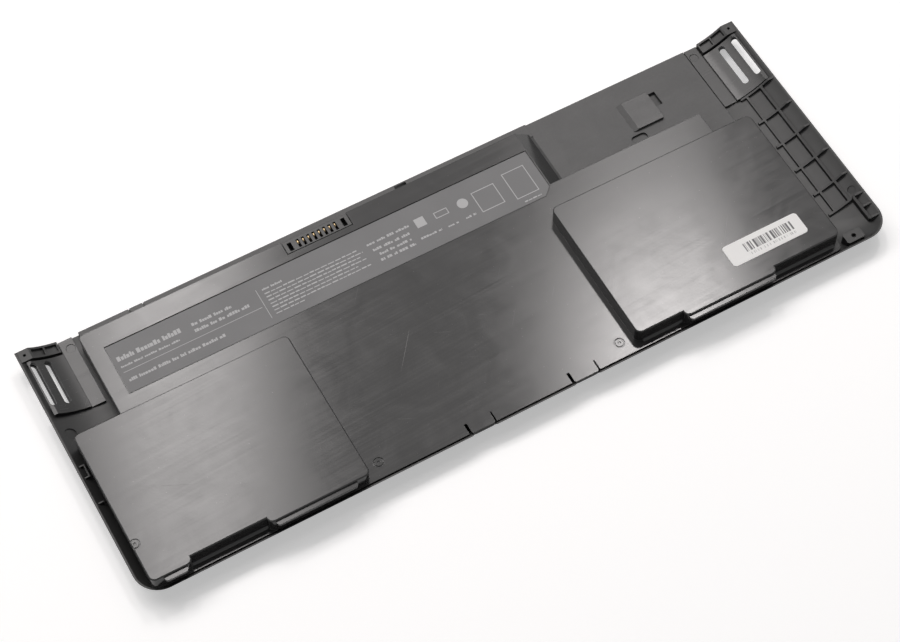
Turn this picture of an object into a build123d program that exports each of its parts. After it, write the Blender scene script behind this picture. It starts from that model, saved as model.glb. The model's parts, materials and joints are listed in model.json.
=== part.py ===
"""Slim notebook battery pack that also closes the front half of the notebook's underside.

Millimetres. X runs along the pack, +Y points to the connector edge and Z up.
The origin is on the flat underside, at the middle of the outline.
"""
import os
from math import acos, asin, cos, radians, sin, sqrt

from build123d import *

os.makedirs("parts", exist_ok=True)

# Whole pack
pack_length = 285.0
pack_depth = 103.0
rim_height = 8.0
deck_top = 8.2
pad_top = 13.9
fit_gap = 0.1
overshoot = 2.0

# Outer tray
skin = 1.3
rim_skin = 0.45
end_radius = 30.3
front_radius = 16.0
corner_radius = 9.0
corner_base_radius = 6.0
hull_steps = 3

# Rib grid on the curved right end, measured from where the floor starts to curve
rib_height = 0.7
rib_width = 0.8
rib_start = 6.6
rib_end_gap = 0.8
long_rib_offsets = (9.0, 14.6)
rib_first_y = 22.75
rib_pitch = 11.8
rib_rows = 5
front_rib_y = -34.0
fence_rib_offset = 15.9
fence_rib_height = 1.2
fence_pitch = 5.2
fence_rows = 3

# Small fittings in the tray: corner lug, gap catch, gap stop and round moulding marks,
# each mark with its run along the curved end, its place along Y and its diameter
corner_lug_offset = 6.8
corner_lug_length = 7.0
corner_lug_depth = 4.2
corner_lug_inset = 1.7
corner_lug_corner = 0.8
corner_lug_hole = 1.6
corner_lug_hole_depth = 1.5
catch_inset = 1.3
catch_width = 1.9
catch_length = 5.1
catch_wall = 0.5
catch_y = -0.5
stop_y = -13.4
mark_sink = 0.2
left_mark = (15.8, 15.6, 4.5)
right_mark = (17.1, -30.9, 3.0)

# Rear ears, measured from where the floor starts to curve, and speaker slots, from the end
ear_start = 5.8
ear_height = 1.7
ear_depth = 4.6
ear_pocket_floor = 0.8
ear_pocket_depth = 3.1
ear_pocket_wall = 0.7
ear_pocket_offsets = ((6.4, 10.4), (11.0, 15.0))
ear_hole_inset = 2.8
ear_hole_size = 0.9
ear_hole_depth = 2.0
slot_insets = (3.6, 8.3)
slot_rear_inset = 15.3
slot_length = 18.4
slot_width = 2.4
slot_tilt = 20.0
grille_rear_gap = 0.6
grille_depth = 23.0
grille_thickness = 1.0
grille_start = 0.4
grille_ledge = 5.5
grille_ledge_top = 2.25
grille_end_gap = 1.4
ledge_mark_offset = 2.4
ledge_mark_rear = 4.0
ledge_mark_diameter = 3.3
seat_rail_offsets = (2.6, 9.2)
seat_rail_width = 1.2

# Inner cover: pads, deck and label platform
cover_wall = 1.0
left_pad_inset = 3.6
left_pad_width = 78.4
right_pad_inset = 20.0
right_pad_width = 81.0
pad_front_inset = 1.65
pad_depth = 59.85
pad_corner = 2.2
pad_edge = 0.35
brow_corner = 2.2
notch_depth = 2.25
left_pad_notch = (14.8, 26.9)
right_pad_brow = (17.7, 36.5)
deck_front_inset = 1.1
cove_radius = 1.0
platform_left_gap = 1.0
platform_right_lap = 7.1
platform_rear_inset = 4.7
platform_slope_run = 6.9
platform_corner = 1.5
duct_end_inset = 12.5
duct_depth = 12.0
floor_sheet_top = 2.5
floor_sheet_lap = 1.6
lip_top = 3.2
lip_left_gap = 1.2

# Tongues along the front edge
pad_tongue_inset = 0.05
pad_tongue_drop = 0.9
pad_tongue_thickness = 0.9
left_pad_tongues = ((4.3, 8.4), (43.9, 29.4))
right_pad_tongues = ((18.8, 34.3),)
deck_tongues = ((-23.4, 8.8), (15.7, 9.3))
deck_tongue_inset = 0.5
deck_tongue_depth = 4.6
deck_tongue_thickness = 1.0
deck_tongue_slope = 0.4
deck_tongue_clearance = 0.5
tongue_corner = 1.3
tongue_slit = 1.0

# Small features of the cover
boss_size = 12.6
boss_corner = 0.8
boss_height = 1.0
boss_slope_run = 2.0
boss_rear_inset = 15.5
boss_end_inset = 48.2
latch_slot_length = 6.0
latch_slot_width = 2.6
latch_slot_shift = 2.6
latch_slot_gap = 0.4
oval_length = 6.2
oval_width = 3.2
oval_sink = 0.8
oval_shift = 5.8
oval_gap = 3.1
ring_diameter = 3.6
ring_line = 0.4
ring_dot = 1.0
ring_sink = 0.25
ring_pad_gap = 5.2
ring_front_inset = 6.7
pad_ring_inset = 1.2
pad_ring_front = 14.7
edge_slot_x = 4.2
edge_slot_length = 4.5
edge_slot_width = 2.8
edge_slot_bridge = 0.5
lip_slit_offsets = (20.1, 25.4)
lip_slit_width = 0.5
lip_slit_length = 3.0

# Pouch cells and what holds them
cell_overhang = 1.5
cell_rear_room = 0.5
left_lead_room = 3.0
right_lead_room = 6.0
right_cell_room = 14.0
middle_left_room = 1.7
middle_right_room = 2.7
middle_cell_gap = 1.6
cell_terrace = 3.5
cell_terrace_thickness = 0.5
cell_edge = 1.8
tape_thickness = 0.15
tape_margin = 6.0
pad_foam_thickness = 0.9
deck_foam_thickness = 0.55
foam_margin = 9.0

# Cell tabs and flat leads
tab_thickness = 0.2
tab_width = 4.0
tab_spread = 24.0
pad_tab_length = 1.2
deck_tab_length = 4.0
lead_thickness = 0.3
lead_cover_gap = 0.6
lead_tab_lap = 0.4
lead_foot_length = 5.0
lead_foot_depth = 4.0

# Protection board and what it carries, placed along its middle line
board_left_inset = 17.0
board_right_inset = 1.6
board_depth = 22.4
board_rear_gap = 0.8
board_front_gap = 2.1
board_thickness = 0.8
post_size = 4.0
board_corner = 1.0
post_inset = 3.5
gauge_right_inset = 37.0
gauge_size = 5.0
gauge_height = 0.9
transistor_left_inset = 36.0
transistor_size = 3.3
transistor_pitch = 4.6
transistor_height = 0.9
fuse_left_inset = 22.0
fuse_length = 4.0
fuse_width = 3.0
fuse_height = 1.0
shunt_right_inset = 19.0
shunt_length = 6.4
shunt_width = 3.2
shunt_height = 0.6
capacitor_right_inset = 53.0
capacitor_length = 1.6
capacitor_width = 0.8
capacitor_height = 0.8
capacitor_pitch = 2.4
capacitor_rows = 2
capacitor_columns = 3

# Blade connector
contact_count = 8
contact_pitch = 2.05
connector_x = -31.9
connector_depth = 5.0
connector_rear_gap = 0.4
connector_end = 5.3
contact_slot_width = 0.95
contact_slot_length = 3.4
contact_slot_front = 0.5
contact_slot_depth = 3.0
end_pocket_width = 1.5
end_pocket_offset = 3.2
blade_thickness = 0.4
blade_depth = 1.4
blade_height = 2.6
window_gap = 0.25

# Temperature sensor, a thin film from the cell to the board
sensor_x = 14.0
sensor_width = 3.0
sensor_film = 0.3
sensor_lap = 7.0
sensor_fall = 3.0
sensor_foot = 3.0

# Labels
label_left_inset = 6.0
label_right_inset = 0.7
label_rear_inset = 8.3
label_front_gap = 8.6
label_corner = 3.0
label_thickness = 0.12
label_sink = 0.3
label_gap = 0.25
code_label_length = 30.0
code_label_width = 8.8
code_label_corner = 1.3
code_label_end_inset = 23.9
code_label_front_inset = 12.7


def reach(radius, inset, height):
    """Horizontal run of an up-curved wall, from the flat floor to a height."""
    return sqrt(max((radius - inset) ** 2 - (radius - height) ** 2, 0.0))


# Places on the tray
end_x = pack_length / 2
rear_y = pack_depth / 2
front_y = -pack_depth / 2
flat_half = end_x - reach(end_radius, 0, rim_height)
flat_front = front_y + reach(front_radius, 0, rim_height)
rooting = rim_skin / 2
embed = rooting - skin
tall = pad_top + overshoot
rib_end_x = end_x - rib_end_gap
rib_ys = [rib_first_y - rib_pitch * row for row in range(rib_rows)]
fence_x = flat_half + fence_rib_offset
fence_ys = [front_rib_y - fence_pitch * row for row in range(fence_rows)]
grille_rear = rear_y - ear_depth - grille_rear_gap
slot_y = rear_y - slot_rear_inset
slot_reach = 2 * skin

# Places on the cover
left_pad_left = -end_x + left_pad_inset
left_pad_right = left_pad_left + left_pad_width
right_pad_right = end_x - right_pad_inset
right_pad_left = right_pad_right - right_pad_width
pad_front = front_y + pad_front_inset
pad_rear = pad_front + pad_depth
notch_y = pad_front + notch_depth
left_notch_left = left_pad_left + left_pad_notch[0]
left_notch_right = left_notch_left + left_pad_notch[1]
right_brow_left = right_pad_left + right_pad_brow[0]
right_brow_right = right_brow_left + right_pad_brow[1]
brow_spans = ((left_pad_left, left_notch_left), (left_notch_right, left_pad_right),
              (right_brow_left, right_brow_right))
notch_spans = ((left_notch_left, left_notch_right), (right_pad_left + pad_corner, right_brow_left),
               (right_brow_right, right_pad_right - pad_corner))
deck_front = front_y + deck_front_inset
platform_left = platform_left_gap - flat_half
platform_right = right_pad_left + platform_right_lap
platform_rear = rear_y - platform_rear_inset
platform_toe = platform_right + platform_slope_run
duct_right = right_pad_right - duct_end_inset
duct_rear = pad_rear + duct_depth
deck_tongue_base = deck_top - deck_tongue_thickness
lip_left = platform_left + lip_left_gap
boss_x = end_x - boss_end_inset
boss_y = rear_y - boss_rear_inset
edge_slot_rear = rear_y - edge_slot_bridge

# Places of the cells, board and connector
lower_base = skin + tape_thickness
deck_cell_thickness = deck_top - cover_wall - deck_foam_thickness - lower_base
pad_cell_room = pad_top - cover_wall - pad_foam_thickness - lower_base
pad_cell_thickness = (pad_cell_room - tape_thickness) / 2
upper_base = lower_base + pad_cell_thickness + tape_thickness
cell_front = flat_front - cell_overhang
pad_cell_rear = pad_rear - cover_wall - cell_rear_room
left_cell_left = -flat_half - cell_overhang
left_cell_right = left_pad_right - left_lead_room
right_cell_left = right_pad_left + cover_wall + right_lead_room
right_cell_right = right_pad_right - right_cell_room
board_rear = platform_rear - cover_wall - board_rear_gap
board_front = board_rear - board_depth
board_mid = (board_front + board_rear) / 2
board_left = platform_left + board_left_inset
board_right = platform_right - board_right_inset
board_top = lower_base + (deck_cell_thickness - tab_thickness) / 2
board_base = board_top - board_thickness
deck_cell_rear = board_front - board_front_gap
deck_cells_left = left_pad_right + middle_left_room
deck_cells_right = right_pad_left - middle_right_room
deck_cell_width = (deck_cells_right - deck_cells_left - middle_cell_gap) / 2
connector_rear = platform_rear - connector_rear_gap
connector_front = connector_rear - connector_depth
connector_half = contact_pitch * (contact_count - 1) / 2 + connector_end
contact_xs = [connector_x + contact_pitch * (i - (contact_count - 1) / 2) for i in range(contact_count)]
contact_slot_y = connector_front + contact_slot_front + contact_slot_length / 2
slot_floor = deck_top - contact_slot_depth


def hull_outline(height, floor_inset, rim_inset, rear):
    """Outline of the hull at a height: square at the rear, rounded front corners."""
    share = (height - floor_inset) / (rim_height - floor_inset)
    inset = floor_inset + (rim_inset - floor_inset) * share
    half = flat_half + reach(end_radius, inset, height)
    front = flat_front - reach(front_radius, inset, height)
    radius = corner_base_radius + (corner_radius - inset - corner_base_radius) * share
    with Locations((0, (rear + front) / 2)):
        Rectangle(2 * half, rear - front)
    fillet(vertices().group_by(Axis.Y)[0], radius)


def hull(floor_inset, rim_inset, rear):
    """Solid of the hull from floor to rim, drawn in by one inset at the floor and one at the rim."""
    turn = acos((end_radius - rim_height) / (end_radius - floor_inset))
    with BuildPart() as block:
        for step in range(hull_steps + 1):
            height = end_radius - (end_radius - floor_inset) * cos(turn * step / hull_steps)
            with BuildSketch(Plane.XY.offset(height)):
                hull_outline(height, floor_inset, rim_inset, rear)
        loft()
    return block.part


def end_band(low, high, x_from, x_to):
    """Section along the curved right end, between two heights above its inner face."""
    with Locations((flat_half, end_radius)):
        Circle(end_radius - skin - low)
        Circle(end_radius - skin - high, mode=Mode.SUBTRACT)
    with Locations(((x_from + x_to) / 2, rim_height / 2)):
        Rectangle(x_to - x_from, rim_height, mode=Mode.INTERSECT)


def end_face(offset_x, y, side):
    """Plane on the inner face of a curved end, at a run from where the floor starts to curve."""
    turn = asin(offset_x / (end_radius - skin))
    height = end_radius - (end_radius - skin) * cos(turn)
    return Plane(origin=(side * (flat_half + offset_x), y, height), x_dir=(0, 1, 0),
                 z_dir=(-side * sin(turn), 0, cos(turn)))


def slot_face(inset, side):
    """Plane on a curved end at a speaker slot, tilted inwards as the slots are cut."""
    face = end_face(end_x - inset - flat_half, slot_y, side)
    tilt = radians(slot_tilt)
    return Plane(origin=face.origin, x_dir=(0, 1, 0), z_dir=(-side * sin(tilt), 0, cos(tilt)))


def block(x_from, x_to, y_from, y_to, z_from, z_to, mode=Mode.ADD):
    """Box between two corners."""
    with Locations(((x_from + x_to) / 2, (y_from + y_to) / 2, (z_from + z_to) / 2)):
        Box(x_to - x_from, y_to - y_from, z_to - z_from, mode=mode)


def rectangle(x_from, x_to, y_from, y_to, radius=0.0):
    """Flat rectangle between two corners, with rounded corners if a radius is given."""
    with Locations(((x_from + x_to) / 2, (y_from + y_to) / 2)):
        if radius > 0:
            RectangleRounded(x_to - x_from, y_to - y_from, radius)
        else:
            Rectangle(x_to - x_from, y_to - y_from)


def finish(builder, name):
    """Label a piece and write its file."""
    builder.part.label = name
    export_step(builder.part, f"parts/{name}.step")


# Right-hand rear ear: a raised bar with two pockets and a small square hole
with BuildPart() as ear:
    with BuildSketch(Plane.XZ.offset(-rear_y)):
        end_band(embed, ear_height, flat_half + ear_start, rib_end_x)
    extrude(amount=ear_depth)
    for span in ear_pocket_offsets:
        with BuildSketch(Plane.XZ.offset(-(rear_y - ear_depth + ear_pocket_wall))):
            end_band(ear_pocket_floor, ear_height + overshoot, flat_half + span[0], flat_half + span[1])
        extrude(amount=-ear_pocket_depth, mode=Mode.SUBTRACT)
    with Locations((end_x - ear_hole_inset, rear_y - ear_depth / 2, rim_height)):
        Box(ear_hole_size, ear_hole_size, 2 * ear_hole_depth, mode=Mode.SUBTRACT)

# Right-hand rails that a grille insert rests on
with BuildPart() as seat_rails:
    for offset_x in seat_rail_offsets:
        rail_x = flat_half + offset_x
        with BuildSketch(Plane.XZ.offset(-grille_rear)):
            end_band(embed, fit_gap, rail_x - seat_rail_width / 2, rail_x + seat_rail_width / 2)
        extrude(amount=grille_depth)

# Right-hand grille insert: a curved plate with a low flat ledge along its inner edge
with BuildPart() as right_grille:
    with BuildSketch(Plane.XZ.offset(-grille_rear)):
        end_band(fit_gap, grille_thickness, flat_half + grille_start, end_x - grille_end_gap)
    extrude(amount=grille_depth)
    with BuildSketch(Plane.XZ.offset(-rear_y)):
        end_band(fit_gap, grille_thickness, flat_half + grille_start, flat_half + grille_ledge)
    extrude(amount=rear_y - grille_rear)
    block(flat_half, flat_half + grille_ledge, grille_rear - grille_depth, rear_y,
          grille_ledge_top, tall, mode=Mode.SUBTRACT)
    with BuildSketch(Plane.XY.offset(grille_ledge_top)):
        with Locations((flat_half + ledge_mark_offset, rear_y - ledge_mark_rear)):
            Circle(ledge_mark_diameter / 2)
    extrude(amount=-mark_sink, mode=Mode.SUBTRACT)
    for inset in slot_insets:
        with BuildSketch(slot_face(inset, 1)):
            SlotOverall(slot_length, slot_width)
        extrude(amount=slot_reach, both=True, mode=Mode.SUBTRACT)
finish(right_grille, "right_grille_insert")

with BuildPart() as left_grille:
    add(right_grille.part.mirror(Plane.YZ))
finish(left_grille, "left_grille_insert")

# Fittings that stand on the curved walls, rooted in the middle of the skin
root_hull = hull(skin / 2, rooting, rear_y)
lug_left = flat_half + corner_lug_offset - corner_lug_length / 2
lug_front = front_y + corner_lug_inset
catch_left = catch_inset - end_x
with BuildPart() as fittings:
    with BuildSketch():
        rectangle(lug_left, lug_left + corner_lug_length, lug_front, lug_front + corner_lug_depth,
                  corner_lug_corner)
        rectangle(catch_left, catch_left + catch_width,
                  catch_y - catch_length / 2, catch_y + catch_length / 2)
        rectangle(catch_left, catch_left + catch_width, stop_y - catch_wall / 2, stop_y + catch_wall / 2)
    extrude(amount=rim_height)
    with Locations((flat_half + corner_lug_offset, lug_front + corner_lug_depth / 2, rim_height)):
        Hole(corner_lug_hole / 2, corner_lug_hole_depth)
    block(catch_left, catch_left + catch_width - catch_wall, catch_y - catch_length / 2 + catch_wall,
          catch_y + catch_length / 2 - catch_wall, 0, rim_height, mode=Mode.SUBTRACT)
    add(root_hull, mode=Mode.INTERSECT)

# Outer tray: lofted hull with an open rear, rim, rib grid, ears, posts and slots
outer_hull = hull(0.0, 0.0, rear_y)
inner_hull = hull(skin, rim_skin, rear_y + overshoot)
with BuildPart() as tray:
    add(outer_hull)
    add(inner_hull, mode=Mode.SUBTRACT)
    for row_y in rib_ys + [front_rib_y]:
        with BuildSketch(Plane.XZ.offset(-row_y)):
            end_band(embed, rib_height, flat_half + rib_start, rib_end_x)
        extrude(amount=rib_width / 2, both=True)
    for offset_x in long_rib_offsets:
        rib_x = flat_half + offset_x
        with BuildSketch(Plane.XZ.offset(-rib_first_y)):
            end_band(embed, rib_height, rib_x - rib_width / 2, rib_x + rib_width / 2)
        extrude(amount=rib_first_y - front_rib_y)
    with BuildSketch(Plane.XZ.offset(-fence_ys[0])):
        end_band(embed, fence_rib_height, fence_x - rib_width / 2, fence_x + rib_width / 2)
    extrude(amount=fence_ys[0] - fence_ys[-1])
    for row_y in fence_ys:
        with BuildSketch(Plane.XZ.offset(-row_y)):
            end_band(embed, fence_rib_height, fence_x, rib_end_x)
        extrude(amount=rib_width / 2, both=True)
    add(fittings.part)
    for side, (mark_offset, mark_y, mark_diameter) in ((-1, left_mark), (1, right_mark)):
        with BuildSketch(end_face(mark_offset, mark_y, side)):
            Circle(mark_diameter / 2)
        extrude(amount=mark_sink + skin / 2, both=True, mode=Mode.SUBTRACT)
    add(ear.part)
    add(ear.part.mirror(Plane.YZ))
    add(seat_rails.part)
    add(seat_rails.part.mirror(Plane.YZ))
    with BuildSketch(Plane.XY.offset(skin / 2)):
        for post_x in (board_left + post_inset, board_right - post_inset):
            for post_y in (board_front + post_inset, board_rear - post_inset):
                with Locations((post_x, post_y)):
                    Rectangle(post_size, post_size)
    extrude(amount=board_base - skin / 2)
    for side in (-1, 1):
        for inset in slot_insets:
            with BuildSketch(slot_face(inset, side)):
                SlotOverall(slot_length, slot_width)
            extrude(amount=slot_reach, both=True, mode=Mode.SUBTRACT)
    block(edge_slot_x - edge_slot_length / 2, edge_slot_x + edge_slot_length / 2,
          edge_slot_rear - edge_slot_width, edge_slot_rear, -overshoot, tall, mode=Mode.SUBTRACT)
    for start, width in deck_tongues:
        block(start - fit_gap, start + width + fit_gap, front_y - overshoot, deck_front + skin,
              deck_tongue_base - deck_tongue_clearance, tall, mode=Mode.SUBTRACT)
finish(tray, "outer_tray")

# Tongues of the front edge: a pad's are thin flat lips, the deck's have a sloped nose
pad_tongue_front = front_y + pad_tongue_inset
pad_tongue_top = pad_top - pad_tongue_drop
deck_tongue_front = front_y + deck_tongue_inset
deck_tongue_back = deck_tongue_front + deck_tongue_depth
pad_tongue_spans = [(left_pad_left + start, width) for start, width in left_pad_tongues]
pad_tongue_spans += [(right_pad_left + start, width) for start, width in right_pad_tongues]


def tongue(profile, start, width, front, back):
    """One hook: a profile in Y and Z drawn out along X, with rounded front corners."""
    with BuildPart() as hook:
        with BuildSketch(Plane.YZ.offset(start)):
            Polygon(*profile, align=None)
        extrude(amount=width)
        with BuildSketch():
            rectangle(start, start + width, front, back)
            fillet(vertices().group_by(Axis.Y)[0], tongue_corner)
        extrude(amount=tall, mode=Mode.INTERSECT)
    return hook.part


pad_tongue_back = pad_front + cover_wall
pad_tongue_base = pad_tongue_top - pad_tongue_thickness
pad_profile = ((pad_tongue_back, pad_tongue_top), (pad_tongue_front, pad_tongue_top),
               (pad_tongue_front, pad_tongue_base), (pad_tongue_back, pad_tongue_base))
deck_hook_back = deck_tongue_back + cover_wall
deck_profile = ((deck_hook_back, deck_top), (deck_tongue_front + deck_tongue_slope, deck_top),
                (deck_tongue_front, deck_top - deck_tongue_slope), (deck_tongue_front, deck_tongue_base),
                (deck_hook_back, deck_tongue_base))
pad_hooks = [tongue(pad_profile, start, width, pad_tongue_front, pad_tongue_back)
             for start, width in pad_tongue_spans]
deck_hooks = [tongue(deck_profile, start, width, deck_tongue_front, deck_hook_back)
              for start, width in deck_tongues]

# Room for the cover inside the tray: a fit gap clear of the curved walls, flat on the floor
room_inset = skin + fit_gap
rim_room_inset = rim_skin + fit_gap
room_hull = hull(room_inset, rim_room_inset, rear_y)
with BuildPart() as cover_room:
    add(room_hull)
    with BuildSketch(Plane.XY.offset(room_inset)):
        hull_outline(room_inset, room_inset, rim_room_inset, rear_y)
    extrude(amount=-fit_gap)
    with BuildSketch(Plane.XY.offset(rim_height)):
        hull_outline(rim_height, room_inset, rim_room_inset, rear_y)
        rectangle(left_pad_left, right_pad_right, pad_tongue_front, 0)
    extrude(amount=tall - rim_height)
    for start, width in deck_tongues:
        block(start, start + width, deck_tongue_front, 0, deck_tongue_base, tall)

# Round marks on the deck and at the left pad's edge
ring_y = front_y + ring_front_inset
deck_ring_places = ((left_pad_right + ring_pad_gap, ring_y), (right_pad_left - ring_pad_gap, ring_y))
pad_ring_places = ((left_pad_left + pad_ring_inset, pad_front + pad_ring_front),)

# Outline of the rating label, which lies in a shallow recess
with BuildSketch() as label_outline:
    rectangle(platform_left + label_left_inset, platform_right - label_right_inset,
              pad_rear + label_front_gap, platform_rear - label_rear_inset)
    chamfer(vertices().group_by(Axis.Y)[0].sort_by(Axis.X)[-1], label_corner)

# Inner cover: hollow pads, deck, platform and duct, with the low floor sheet and rear lip
with BuildPart() as cover:
    with BuildSketch(Plane.XY.offset(deck_top)):
        rectangle(left_pad_left, left_pad_right, notch_y, pad_rear, pad_corner)
        rectangle(right_pad_left, right_pad_right, notch_y, pad_rear, pad_corner)
        for brow_left, brow_right in brow_spans:
            rectangle(brow_left, brow_right, pad_front, notch_y + 4 * brow_corner, brow_corner)
    extrude(amount=pad_top - deck_top)
    chamfer(cover.faces().group_by(Axis.Z)[-1].edges(), pad_edge)
    with BuildSketch(Plane.XY.offset(skin)) as storey:
        rectangle(left_pad_left, right_pad_right, deck_front, pad_rear, pad_corner)
        rectangle(platform_left, platform_right, pad_front, platform_rear)
        rectangle(right_pad_left, duct_right, pad_front, duct_rear)
        fillet(vertices().sort_by_distance((platform_left, platform_rear))[0], platform_corner)
    extrude(amount=deck_top - skin)
    with BuildSketch(Plane.XZ.offset(-duct_rear)):
        Polygon((platform_right - overshoot, skin), (platform_right - overshoot, deck_top),
                (platform_right, deck_top), (platform_toe, floor_sheet_top), (platform_toe, skin), align=None)
    extrude(amount=-(platform_rear - duct_rear))
    with BuildSketch(Plane.XY.offset(skin)):
        add(storey.sketch.faces())
        offset(amount=-cover_wall, kind=Kind.INTERSECTION)
    extrude(amount=deck_top - cover_wall - skin, mode=Mode.SUBTRACT)
    with BuildSketch(Plane.XY.offset(skin)):
        rectangle(left_pad_left, left_pad_right, notch_y, pad_rear, pad_corner)
        rectangle(right_pad_left, right_pad_right, notch_y, pad_rear, pad_corner)
        offset(amount=-cover_wall, kind=Kind.INTERSECTION)
    extrude(amount=pad_top - cover_wall - skin, mode=Mode.SUBTRACT)
    for notch_left, notch_right in notch_spans:
        with BuildSketch(Plane.YZ.offset(notch_left)):
            rectangle(notch_y - cove_radius, notch_y + cover_wall / 2, deck_top, deck_top + cove_radius)
            with Locations((notch_y - cove_radius, deck_top + cove_radius)):
                Circle(cove_radius, mode=Mode.SUBTRACT)
        extrude(amount=notch_right - notch_left)
    for hook in pad_hooks:
        add(hook)
    block(duct_right - cover_wall, flat_half, pad_rear - cover_wall, duct_rear, skin, floor_sheet_top)
    block(platform_toe - floor_sheet_lap, flat_half, duct_rear - cover_wall, rear_y, skin, floor_sheet_top)
    block(lip_left, platform_toe, platform_rear - cover_wall, rear_y, skin, lip_top)
    with BuildSketch(Plane.XY.offset(skin)):
        with Locations((boss_x, boss_y)):
            RectangleRounded(boss_size, boss_size, boss_corner)
    extrude(amount=floor_sheet_top + boss_height - skin)
    with BuildSketch(Plane.XY.offset(skin)):
        with Locations((boss_x, boss_y)):
            Rectangle(boss_size - 2 * cover_wall, boss_size - 2 * cover_wall)
    extrude(amount=floor_sheet_top + boss_height - cover_wall - skin, mode=Mode.SUBTRACT)
    with BuildSketch(Plane.XZ.offset(-boss_y)):
        boss_left = boss_x - boss_size / 2
        boss_top = floor_sheet_top + boss_height
        Polygon((boss_left, floor_sheet_top), (boss_left, boss_top), (boss_left + boss_slope_run, boss_top),
                align=None)
    extrude(amount=boss_size / 2, both=True, mode=Mode.SUBTRACT)
    for start, width in deck_tongues:
        block(start - tongue_slit, start + width + tongue_slit / 2, deck_front - overshoot,
              deck_tongue_back, 0, tall, mode=Mode.SUBTRACT)
    for hook in deck_hooks:
        add(hook)
    add(cover_room.part, mode=Mode.INTERSECT)
    block(connector_x - connector_half - window_gap, connector_x + connector_half + window_gap,
          connector_front - window_gap, rear_y + overshoot, lip_top, tall, mode=Mode.SUBTRACT)
    block(edge_slot_x - edge_slot_length / 2, edge_slot_x + edge_slot_length / 2,
          edge_slot_rear - edge_slot_width, edge_slot_rear, 0, tall, mode=Mode.SUBTRACT)
    for offset_x in lip_slit_offsets:
        slit_x = platform_left + offset_x
        block(slit_x - lip_slit_width / 2, slit_x + lip_slit_width / 2,
              rear_y - lip_slit_length, rear_y + overshoot, floor_sheet_top, lip_top, mode=Mode.SUBTRACT)
    latch_slot_x = boss_x + boss_size / 2 + latch_slot_gap + latch_slot_width / 2
    latch_slot_y = boss_y + latch_slot_shift
    block(latch_slot_x - latch_slot_width / 2, latch_slot_x + latch_slot_width / 2,
          latch_slot_y - latch_slot_length / 2, latch_slot_y + latch_slot_length / 2,
          0, tall, mode=Mode.SUBTRACT)
    with BuildSketch(Plane.XY.offset(floor_sheet_top)):
        with Locations((boss_x - oval_shift, duct_rear + oval_gap + oval_width / 2)):
            SlotOverall(oval_length, oval_width)
    extrude(amount=-oval_sink, mode=Mode.SUBTRACT)
    for places, height in ((deck_ring_places, deck_top), (pad_ring_places, pad_top)):
        with BuildSketch(Plane.XY.offset(height)):
            with Locations(*places):
                Circle(ring_diameter / 2)
                Circle(ring_diameter / 2 - ring_line, mode=Mode.SUBTRACT)
                Circle(ring_dot / 2)
        extrude(amount=-ring_sink, mode=Mode.SUBTRACT)
    with BuildSketch(Plane.XY.offset(deck_top)):
        add(label_outline.sketch.faces())
        offset(amount=label_gap, kind=Kind.INTERSECTION)
    extrude(amount=-label_sink, mode=Mode.SUBTRACT)
finish(cover, "inner_cover")

# Pouch cells: a soft-edged body with a thin sealed terrace at the tab end
pad_cell_width = pad_cell_rear - cell_front
deck_cell_length = deck_cell_rear - cell_front


def pouch_cell(length, width, thickness):
    """One cell lying along X, from its plain end at zero to its terrace, on its bottom face."""
    with BuildPart() as cell:
        block(0, length - cell_terrace, -width / 2, width / 2, 0, thickness)
        fillet(cell.edges().filter_by(Axis.X), cell_edge)
        block(length - cell_terrace - cell_edge, length,
              tape_margin / 2 - width / 2, width / 2 - tape_margin / 2,
              (thickness - cell_terrace_thickness) / 2, (thickness + cell_terrace_thickness) / 2)
    return cell.part


left_cell = pouch_cell(left_cell_right - left_cell_left, pad_cell_width, pad_cell_thickness)
right_cell = pouch_cell(right_cell_right - right_cell_left, pad_cell_width, pad_cell_thickness)
deck_cell = pouch_cell(deck_cell_length, deck_cell_width, deck_cell_thickness)
pad_cell_y = (cell_front + pad_cell_rear) / 2
deck_cell_xs = (deck_cells_left + deck_cell_width / 2, deck_cells_right - deck_cell_width / 2)
cell_places = {
    "left_lower_cell": (left_cell, Location((left_cell_left, pad_cell_y, lower_base))),
    "left_upper_cell": (left_cell, Location((left_cell_left, pad_cell_y, upper_base))),
    "right_lower_cell": (right_cell, Location((right_cell_right, pad_cell_y, lower_base), (0, 0, 180))),
    "right_upper_cell": (right_cell, Location((right_cell_right, pad_cell_y, upper_base), (0, 0, 180))),
    "middle_left_cell": (deck_cell, Location((deck_cell_xs[0], cell_front, lower_base), (0, 0, 90))),
    "middle_right_cell": (deck_cell, Location((deck_cell_xs[1], cell_front, lower_base), (0, 0, 90))),
}
for name, (shape, place) in cell_places.items():
    with BuildPart() as cell_piece:
        add(shape.moved(place))
    finish(cell_piece, name)

# Tapes under the lower cells and between the stacked ones
pad_tape_front = cell_front + tape_margin
pad_tape_rear = pad_cell_rear - tape_margin
pad_tape_spans = ((left_cell_left + tape_margin, left_cell_right - 2 * tape_margin),
                  (right_cell_left + 2 * tape_margin, right_cell_right - tape_margin))
deck_tape_half = deck_cell_width / 2 - tape_margin
with BuildPart() as floor_tapes:
    for x_from, x_to in pad_tape_spans:
        block(x_from, x_to, pad_tape_front, pad_tape_rear, skin, lower_base)
    for mid_x in deck_cell_xs:
        block(mid_x - deck_tape_half, mid_x + deck_tape_half, pad_tape_front, pad_tape_rear, skin, lower_base)
finish(floor_tapes, "floor_tapes")

with BuildPart() as stack_tapes:
    for x_from, x_to in pad_tape_spans:
        block(x_from, x_to, pad_tape_front, pad_tape_rear, upper_base - tape_thickness, upper_base)
finish(stack_tapes, "stack_tapes")

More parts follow.
